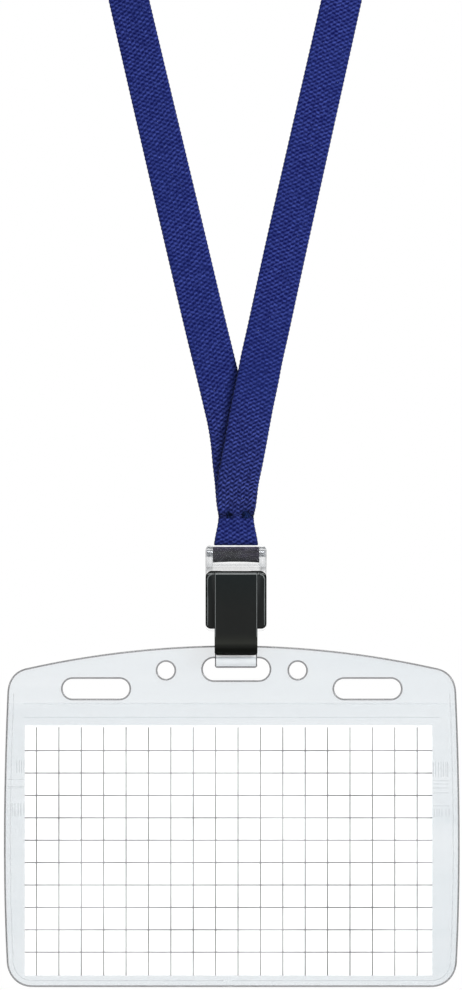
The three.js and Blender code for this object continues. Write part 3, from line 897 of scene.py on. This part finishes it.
def tube(points, radius):
    """A round thread through the points, as vertices and faces."""
    line = np.array(points)
    tangents = np.gradient(line, axis=0)
    tangents /= np.linalg.norm(tangents, axis=1)[:, None]
    first = np.cross(tangents, (0, 0, 1.0))
    first[np.linalg.norm(first, axis=1) < 1e-6] = (1, 0, 0)
    first /= np.linalg.norm(first, axis=1)[:, None]
    second = np.cross(tangents, first)
    angles = np.linspace(0, 2 * math.pi, TUBE_SIDES, endpoint=False)
    cosines, sines = np.cos(angles)[None, :, None], np.sin(angles)[None, :, None]
    rings = line[:, None] + radius * (cosines * first[:, None] + sines * second[:, None])
    return rings.reshape(-1, 3), tube_faces(len(line), TUBE_SIDES)


def joined(name, parts, *materials):
    vertices, faces = [], []
    for points, polygons in parts:
        start = len(vertices)
        vertices += [tuple(p) for p in points]
        faces += [[start + i for i in polygon] for polygon in polygons]
    mesh = bpy.data.meshes.new(name)
    mesh.from_pydata(vertices, [], faces)
    mesh.shade_smooth()
    return new_object(name, mesh, *materials)


# Each cluster of stitches: from and to in metres across, and the number of uprights
TACK_CLUSTERS = ((-0.0018, -0.0004, 8), (0.0016, 0.0037, 11))
# The uprights: half their height, their tilt, how far they arch out and their radius
UPRIGHT_HALF = 0.0007
UPRIGHT_TILT = 0.00035
UPRIGHT_ARCH = 0.0002
UPRIGHT_RADIUS = 0.00013
# The threads laid across them: heights, overrun, waviness, points along and radius
CROSSING_HEIGHTS = (-0.0004, 0, 0.0004)
CROSSING_OVERRUN = 0.0002
CROSSING_WAVE = 0.00008
CROSSING_POINTS = 21
CROSSING_RADIUS = 0.00015
# From the two plies' middle to an upright's ends and to the crossing threads
PLIES_HALF = PLY_OFFSET + STRAP_THICK / 2
UPRIGHT_DEPTH = PLIES_HALF - 0.00003
CROSSING_DEPTH = PLIES_HALF + 0.00007


def make_bar_tack():
    """Clusters of close zigzag stitches, either side of the middle pleat."""
    rng = np.random.default_rng(7)
    parts = []
    rise = np.linspace(0, 1, 9)
    for face in (-1, 1):
        for low_x, high_x, count in TACK_CLUSTERS:
            for i, x in enumerate(np.linspace(low_x, high_x, count)):
                tilt = UPRIGHT_TILT * (1 if i % 2 else -1)
                low = WAIST_Z - UPRIGHT_HALF + rng.uniform(-0.0002, 0.0001)
                high = WAIST_Z + UPRIGHT_HALF + rng.uniform(-0.0001, 0.0003)
                y = face * (UPRIGHT_DEPTH + UPRIGHT_ARCH * np.sin(math.pi * rise))
                points = np.stack([x + tilt * (rise - 0.5), y, low + (high - low) * rise], axis=1)
                parts.append(tube(points + np.array(CLIP), UPRIGHT_RADIUS))
            for height in CROSSING_HEIGHTS:
                x = np.linspace(low_x - CROSSING_OVERRUN, high_x + CROSSING_OVERRUN, CROSSING_POINTS)
                y = np.full(CROSSING_POINTS, face * CROSSING_DEPTH)
                z = WAIST_Z + height + CROSSING_WAVE * np.sin(5200 * x + height * 9000)
                parts.append(tube(np.stack([x, y, z], axis=1) + np.array(CLIP), CROSSING_RADIUS))
    obj = joined("bar_tack_stitches", parts, THREAD)
    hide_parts("bar_tack")
    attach(obj, "strap")


make_end_loop()
make_sleeve()
make_bar_tack()

# ---- Moulded pieces: the CAD solids with rounded edges ----


# Outer edges that turn by more than the first are rounded, and after that only ones that
# turn by more than the second stay crisp
ROUNDED_ABOVE = math.radians(25)
CRISP_ABOVE = math.radians(50)


def rounded_copy(node, name, slot, body, width, segments, *materials, slot_of=None):
    """The node's own solid with every sharp outer edge rounded to the given width.
    slot_of picks each face's material from its centre and normal."""
    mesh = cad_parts[node].data.copy()
    mesh.name = name
    mesh.materials.clear()
    bm = bmesh.new()
    bm.from_mesh(mesh)
    bmesh.ops.remove_doubles(bm, verts=bm.verts, dist=2e-7)
    bmesh.ops.dissolve_limit(bm, angle_limit=math.radians(0.5), verts=bm.verts, edges=bm.edges)
    outer = [e for e in bm.edges if len(e.link_faces) == 2 and e.is_convex]
    edges = [e for e in outer if e.calc_face_angle() > ROUNDED_ABOVE]
    bmesh.ops.bevel(bm, geom=edges, offset=width, segments=segments, profile=0.5, affect="EDGES")
    bmesh.ops.recalc_face_normals(bm, faces=bm.faces)
    if slot_of:
        for face in bm.faces:
            face.material_index = slot_of(face.calc_center_median(), face.normal)
    bm.to_mesh(mesh)
    bm.free()
    mesh.shade_smooth()
    mesh.set_sharp_from_angle(angle=CRISP_ABOVE)
    obj = new_object(name, mesh, *materials)
    weighted = obj.modifiers.new("weighted", "WEIGHTED_NORMAL")
    weighted.keep_sharp = True
    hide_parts(node)
    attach(obj, body)


# Heights where the lever's tongue leaves the wings and where it starts to turn forward
LEVER_CURL_Z = CLIP.z - 0.0186
TONGUE_TURN_Z = CLIP.z - 0.0205
# The band of painted shade round the wings, and the fine raised line just inside it, grey as a painted
# highlight: its corner, its drop below the band at the top, its lower end and its radius
WING_BORDER = 0.0005
WING_LINE_INSET = 0.00046
WING_LINE_CORNER = 0.0011
WING_LINE_DROP = 0.00035
WING_LINE_LOW = CLIP.z - 0.0178
WING_LINE_RADIUS = 0.00012
# The wings' front, and the radius that their top rounds back with
WING_FRONT_Y = CLIP.y - 0.0041
WING_ROUND = 0.001


def lever_slot(centre, normal):
    """Slot 1, a painted highlight, on the narrow band where the front turns over at the top and sides;
    slot 2, painted shade, on the wings' outer bevels, on faces turned down above the tongue's turn and
    on faces turned far from the front.
    """
    forward = -normal.y
    outside = abs(centre.x) > LEVER_HIGH.x - WING_BORDER and centre.z < LEVER_HIGH.z - WING_BORDER
    if 0.9 < forward < 0.975 and normal.z > -0.1 and centre.z > LEVER_CURL_Z and not outside:
        return 1
    if outside and forward < 0.985:
        return 2
    return 2 if (normal.z < -0.12 and centre.z > TONGUE_TURN_Z) or forward < 0.6 else 0


# The clip's top band, which takes the painted highlight, the stretch of its sides that gets the painted
# dark outline, and the hook's top, outlined sides and foot
TOP_BAND_Z = CLIP.z - 0.0003
OUTLINE_X = 0.0063
OUTLINE_LOW, OUTLINE_HIGH = CLIP.z - 0.0182, CLIP.z - 0.0014
HOOK_Z = CLIP.z - 0.0215
HOOK_SIDE_X = 0.0042
HOOK_FOOT_Z = CLIP.z - 0.02698


def clip_slot(centre, normal):
    """Painted dark outlines down the outer sides and round the hook, for the dark the clear edges
    refract, and a painted highlight along the top.
    """
    x, z = abs(centre.x), centre.z
    tilted = 0.05 < abs(normal.y) < 0.97
    if normal.y < -0.05 and normal.z > 0.3 and z > TOP_BAND_Z:
        return 2
    if z < HOOK_Z and ((tilted and x > HOOK_SIDE_X) or z < HOOK_FOOT_Z):
        return 4
    if tilted and x > OUTLINE_X and OUTLINE_LOW < z < OUTLINE_HIGH:
        return 1
    return 3 if normal.y < -0.4 and z < HOOK_Z else 0


def make_lever_lines():
    """A fine raised line just inside the outer edge of each of the lever's wings, grey as a painted
    highlight.
    """
    side = LEVER_HIGH.x - WING_LINE_INSET
    top = LEVER_HIGH.z - WING_LINE_INSET - WING_LINE_DROP
    turn = np.linspace(0, math.pi / 2, 10)
    x = side - WING_LINE_CORNER * (1 - np.cos(turn))
    z = top - WING_LINE_CORNER * (1 - np.sin(turn))
    x = np.concatenate([[side, side], x])
    z = np.concatenate([[WING_LINE_LOW, (WING_LINE_LOW + top) / 2], z])
    into_round = np.clip(WING_ROUND - (LEVER_HIGH.z - z), 0, WING_ROUND)
    y = WING_FRONT_Y + WING_ROUND - np.sqrt(WING_ROUND**2 - into_round**2)
    parts = [tube(np.stack([side_of * x, y, z], axis=1), WING_LINE_RADIUS) for side_of in (-1, 1)]
    lines = joined("lever_edge_lines", parts, BLACK_HIGHLIGHT_LINE)
    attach(lines, "lever")


LEVER_FINISH = (BLACK, BLACK_PAINTED_HIGHLIGHT, BLACK_PAINTED_SHADE)
rounded_copy(
    "clip_lever", "clip_lever_black", "black_plastic", "lever", 0.22 * MM, 3, *LEVER_FINISH,
    slot_of=lever_slot,
)
make_lever_lines()
CLIP_FINISH = (CLEAR, CLEAR_PAINTED_OUTLINE, CLEAR_PAINTED_GLEAM, CLEAR_TAIL, CLEAR_PAINTED_LINE)
rounded_copy(
    "clip_body", "clip_body_clear", "clear_plastic", "clip", 0.25 * MM, 3, *CLIP_FINISH,
    slot_of=clip_slot,
)
rounded_copy("strap_pin", "strap_pin_steel", "steel", "clip", 0.12 * MM, 3, STEEL)
rounded_copy("lever_hinge_pin", "lever_hinge_pin_steel", "steel", "clip", 0.1 * MM, 3, STEEL)
rounded_copy("insert_card", "insert_card_grid", "card", "card", 0.05 * MM, 2, CARD)

# ---- Vinyl sheets ----

RIM = 0.38 * MM
RIM_STEPS = 5


def inward(loop):
    """Unit directions to the left along a contour, which are into an anticlockwise one."""
    ahead = np.roll(loop, -1, axis=0) - np.roll(loop, 1, axis=0)
    ahead /= np.linalg.norm(ahead, axis=1)[:, None]
    return np.stack([-ahead[:, 1], ahead[:, 0]], axis=1)


def contour_rings(loop, into_sheet):
    """Rounded-edge rings round one closed contour of (x, z) points, front then back."""
    middle = (SHEET_LOW.y + SHEET_HIGH.y) / 2
    half = (SHEET_HIGH.y - SHEET_LOW.y) / 2
    rings = []
    for k in range(-RIM_STEPS, RIM_STEPS + 1):
        t = k / RIM_STEPS * math.pi / 2
        moved = loop + into_sheet * RIM * (1 - math.cos(t))
        y = np.full(len(loop), middle + half * math.sin(t))
        rings.append(np.stack([moved[:, 0], y, moved[:, 1]], axis=1))
    return rings


def sheet_mesh(name, outline, holes):
    """A flat sheet, with the second material on the rounded edges of its outline and holes."""
    vertices, faces = [], []
    fronts, backs = [], []
    for number, loop in enumerate([outline, *holes]):
        rings = contour_rings(loop, -inward(loop) if number else inward(loop))
        count = len(loop)
        start = len(vertices)
        for ring in rings:
            vertices += [tuple(p) for p in ring]
        for k in range(len(rings) - 1):
            for i in range(count):
                a = start + k * count + i
                b = start + k * count + (i + 1) % count
                faces.append([a, a + count, b + count, b])
        fronts.append(list(range(start, start + count)))
        backs.append(list(range(len(vertices) - count, len(vertices))))
    edge_faces = len(faces)
    for loops in (fronts, backs):
        faces += cap_faces(vertices, loops)
    on_edge = [1] * edge_faces + [0] * (len(faces) - edge_faces)
    mesh = bpy.data.meshes.new(name)
    mesh.from_pydata(vertices, [], faces)
    mesh.polygons.foreach_set("material_index", on_edge)
    bm = bmesh.new()
    bm.from_mesh(mesh)
    bmesh.ops.recalc_face_normals(bm, faces=bm.faces)
    bm.to_mesh(mesh)
    bm.free()
    mesh.polygons.foreach_set("use_smooth", on_edge)
    return mesh


def cap_faces(vertices, loops):
    """Triangles that fill the first loop of vertex numbers and leave the others open."""
    rims = [[(vertices[i][0], vertices[i][2]) for i in loop] for loop in loops]
    flat, edges = [], []
    for rim in rims:
        first = len(flat)
        flat += [Vector(p) for p in rim]
        edges += [(first + i, first + (i + 1) % len(rim)) for i in range(len(rim))]
    origin = sum(loops, [])
    faces = []
    for triangle in delaunay_2d_cdt(flat, edges, [], 0, 1e-9)[2]:
        middle = sum((flat[i] for i in triangle), Vector((0, 0))) / 3
        if inside_loop(middle, rims[0]) and not any(inside_loop(middle, rim) for rim in rims[1:]):
            faces.append([origin[i] for i in triangle])
    return faces


def inside_loop(point, loop):
    x, z = point
    inside = False
    for (x0, z0), (x1, z1) in zip(loop, loop[1:] + loop[:1]):
        if (z0 > z) != (z1 > z) and x < (x1 - x0) * (z - z0) / (z1 - z0) + x0:
            inside = not inside
    return inside


def bezier(a, b, c, d, steps):
    t = np.linspace(0, 1, steps, endpoint=False)[:, None]
    a, b, c, d = (np.array(p, float) for p in (a, b, c, d))
    return (1 - t) ** 3 * a + 3 * (1 - t) ** 2 * t * b + 3 * (1 - t) * t * t * c + t**3 * d


def arc(x, z, radius, start, end, steps, endpoint=False):
    angles = np.linspace(start, end, steps, endpoint=endpoint)
    return np.stack([x + radius * np.cos(angles), z + radius * np.sin(angles)], axis=1)


# The right half of the outline, in the holder's millimetres
ARCH_RADIUS = 210
ARCH_HALF_WIDTH = 46
BOTTOM_START = 44.5
BOTTOM_PULL = 47.8
SIDE_LEAD = (50.1, -96.2)
SIDE_LOW = (50.25, -93)
SIDE_BOW = ((51.1, -77), (51.1, -56))
SIDE_HIGH = (50.1, -33)
TOP_CORNER = ((50.0, -30.4), (48.8, -28.2))


def holder_outline():
    """The holder's outline in millimetres about its middle and the clip's top edge."""
    apex = (SHEET_HIGH.z - CLIP.z) / MM
    bottom = (SHEET_LOW.z - CLIP.z) / MM
    angle = math.asin(ARCH_HALF_WIDTH / ARCH_RADIUS)
    arch_end = apex - ARCH_RADIUS * (1 - math.cos(angle))
    right = [
        bezier((0, bottom), (15, bottom), (30, bottom), (BOTTOM_START, bottom), 24),
        bezier((BOTTOM_START, bottom), (BOTTOM_PULL, bottom), SIDE_LEAD, SIDE_LOW, 16),
        bezier(SIDE_LOW, *SIDE_BOW, SIDE_HIGH, 60),
        bezier(SIDE_HIGH, *TOP_CORNER, (ARCH_HALF_WIDTH, arch_end), 16),
    ]
    half_arch = arc(0, apex - ARCH_RADIUS, ARCH_RADIUS, math.pi / 2 - angle, math.pi / 2, 48)
    right = np.vstack([*right, half_arch])
    left = (right * np.array([-1, 1]))[::-1]
    top = np.array([[0, apex]])
    return np.vstack([right, top, left[:-1]])


def in_frame(points):
    """Holder millimetres to metres in the row frame, as (x, z)."""
    return np.array(points) * MM + np.array([HOLDER_X, CLIP.z])


def stadium(x, z, width, height, steps=24):
    """A slot with round ends, from its middle, width and height."""
    r = height / 2
    reach = width / 2 - r
    ends = [
        arc(x + reach, z, r, -math.pi / 2, math.pi / 2, steps, True),
        arc(x - reach, z, r, math.pi / 2, 1.5 * math.pi, steps, True),
    ]
    return np.vstack(ends)


# The header's holes, in the holder's millimetres
CENTRE_SLOT = (1.0, -27.7, 14.9, 4.9)
SIDE_SLOT = (-32.05, 14.9, 4.4)
SIDE_SLOT_X = 30.3
ROUND_HOLE = (-27.95, 1.9)
ROUND_HOLE_X = 14.7
HOLES = [
    stadium(*CENTRE_SLOT),
    *(stadium(x, *SIDE_SLOT) for x in (-SIDE_SLOT_X, SIDE_SLOT_X)),
    *(arc(x, *ROUND_HOLE, 0, 2 * math.pi, 48) for x in (-ROUND_HOLE_X, ROUND_HOLE_X)),
]


def bead(points, y, radius):
    """A fine raised line on the vinyl through (x, z) points in holder millimetres."""
    flat = in_frame(points)
    return tube(np.stack([flat[:, 0], np.full(len(flat), y), flat[:, 1]], axis=1), radius)


# Marks moulded in each side margin, in holder millimetres: upright ticks as (low, high,
# places across) and level strokes as (from, to, heights)
LEFT_TICKS = (
    (-50.8, -48.0, (-48.0, -47.4, -46.9, -46.4)),
    (-60.4, -57.6, (-49.0, -48.4, -47.7, -47.1, -46.4)),
)
LEFT_STROKES = (-49.9, -46.3, (-52.3, -53.9, -54.2))
RIGHT_TICKS = (
    (-51.7, -48.4, (45.0, 45.5, 46.1, 46.7, 47.2, 47.8, 48.2)),
    (-60.6, -58.8, (45.2, 45.8, 46.3, 46.9, 47.8, 48.5)),
)
RIGHT_STROKES = (44.9, 48.4, (-52.6, -53.3, -54.2, -55.3, -58.2))


TICK_RADIUS = 0.00009
STROKE_RADIUS = 0.00007


def side_marks(ticks, strokes):
    parts = []
    for low, high, places in ticks:
        upright = np.linspace(low, high, 6)
        parts += [bead([(x, z) for z in upright], SHEET_LOW.y, TICK_RADIUS) for x in places]
    start, stop, heights = strokes
    level = np.linspace(start, stop, 6)
    parts += [bead([(x, z) for x in level], SHEET_LOW.y, STROKE_RADIUS) for z in heights]
    return parts


# The weld's line: how far inside the outline, its top, and its radius
WELD_INSET = 1.45
WELD_TOP = -33
WELD_RADIUS = 0.00012


def make_front_sheet():
    outline = holder_outline()
    holes = [in_frame(hole) for hole in HOLES]
    mesh = sheet_mesh("holder_front_sheet_vinyl", in_frame(outline), holes)
    sheet = new_object("holder_front_sheet_vinyl", mesh, VINYL, VINYL_PAINTED_EDGE)
    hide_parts("holder_front_sheet")
    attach(sheet, "holder")
    weld = outline + inward(outline) * WELD_INSET
    weld = weld[weld[:, 1] < WELD_TOP]
    halves = weld[weld[:, 0] >= 0], weld[weld[:, 0] < 0]
    parts = [bead(half, SHEET_LOW.y, WELD_RADIUS) for half in halves]
    parts += side_marks(LEFT_TICKS, LEFT_STROKES) + side_marks(RIGHT_TICKS, RIGHT_STROKES)
    ribs = joined("holder_weld_ribs", parts, VINYL_RIB)
    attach(ribs, "holder")


MOUTH_HALF_WIDTH = 46.5
# The lines along the mouth: millimetres below it, metres behind the front, and radius
MOUTH_LINES = ((0.1, 0.0008, 0.00018), (3.2, 0.0013, 0.00016))


def make_back_sheet():
    """The back of the pocket, its mouth finished with a rolled lip."""
    rounded_copy(
        "holder_back_sheet", "holder_back_sheet_vinyl", "clear_vinyl", "holder", 0.12 * MM, 3, VINYL_BACK
    )
    mouth = (BACK_HIGH.z - CLIP.z) / MM
    xs = np.linspace(-MOUTH_HALF_WIDTH, MOUTH_HALF_WIDTH, 60)
    parts = []
    for below, behind, radius in MOUTH_LINES:
        parts.append(bead([(x, mouth - below) for x in xs], BACK_LOW.y + behind, radius))
    lines = joined("pocket_mouth_lip", parts, VINYL_LIP)
    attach(lines, "holder")


make_front_sheet()
make_back_sheet()

# ---- Stage and light ----


FLOOR_RADIUS = 0.6
FLOOR_SIDES = 96
FLOOR_DROP = 0.16


def make_floor():
    mesh = bpy.data.meshes.new("floor")
    rim = [(x, y, 0) for x, y in arc(0, 0, FLOOR_RADIUS, 0, 2 * math.pi, FLOOR_SIDES)]
    mesh.from_pydata(rim, [], [list(range(FLOOR_SIDES))])
    n = Nodes("floor")
    n.set(Base_Color=n.mix(n.noise(8, 3), (0.86, 0.86, 0.87), (0.92, 0.92, 0.92)), Roughness=0.9)
    floor = new_object("floor", mesh, n.material)
    floor.location = (0, CLIP.y, SHEET_LOW.z - FLOOR_DROP)


def make_world():
    """White to the camera. As light it is an even grey in front, dimmer towards the floor."""
    world = bpy.data.worlds.new("studio")
    bpy.context.scene.world = world
    world.use_nodes = True
    tree = world.node_tree
    tree.nodes.clear()
    output = tree.nodes.new("ShaderNodeOutputWorld")
    mix = tree.nodes.new("ShaderNodeMixShader")
    seen = tree.nodes.new("ShaderNodeLightPath")
    direction = tree.nodes.new("ShaderNodeTexCoord")
    parts = tree.nodes.new("ShaderNodeSeparateXYZ")
    height = tree.nodes.new("ShaderNodeMapRange")
    for name, value in (("From Min", -0.7), ("From Max", 0.5), ("To Min", 0.1), ("To Max", 0.5)):
        height.inputs[name].default_value = value
    tree.links.new(direction.outputs["Generated"], parts.inputs[0])
    tree.links.new(parts.outputs["Z"], height.inputs["Value"])
    tree.links.new(seen.outputs["Is Camera Ray"], mix.inputs[0])
    light, backdrop = (tree.nodes.new("ShaderNodeBackground") for _ in range(2))
    tree.links.new(height.outputs["Result"], light.inputs["Strength"])
    backdrop.inputs["Strength"].default_value = 1.0
    for background, socket in ((light, 1), (backdrop, 2)):
        background.inputs["Color"].default_value = (1, 1, 1, 1)
        tree.links.new(background.outputs[0], mix.inputs[socket])
    tree.links.new(mix.outputs[0], output.inputs["Surface"])


SOFTBOX_SIZE = 0.4


def softbox(name, place, power):
    data = bpy.data.lights.new(name, "AREA")
    data.shape = "SQUARE"
    data.size = SOFTBOX_SIZE
    data.energy = power
    light = new_object(name, data)
    target = Vector((0, CLIP.y, CLIP.z))
    light.location = place
    light.rotation_euler = (target - Vector(place)).to_track_quat("-Z", "Y").to_euler()


bpy.context.scene.view_settings.view_transform = "Standard"
make_floor()
make_world()
softbox("fill_left", (-0.8, CLIP.y - 0.6, CLIP.z + 0.3), 3.0)
softbox("key_right", (0.8, CLIP.y - 0.6, CLIP.z + 0.45), 10.5)
softbox("top", (0, CLIP.y - 0.5, CLIP.z + 0.9), 5.0)
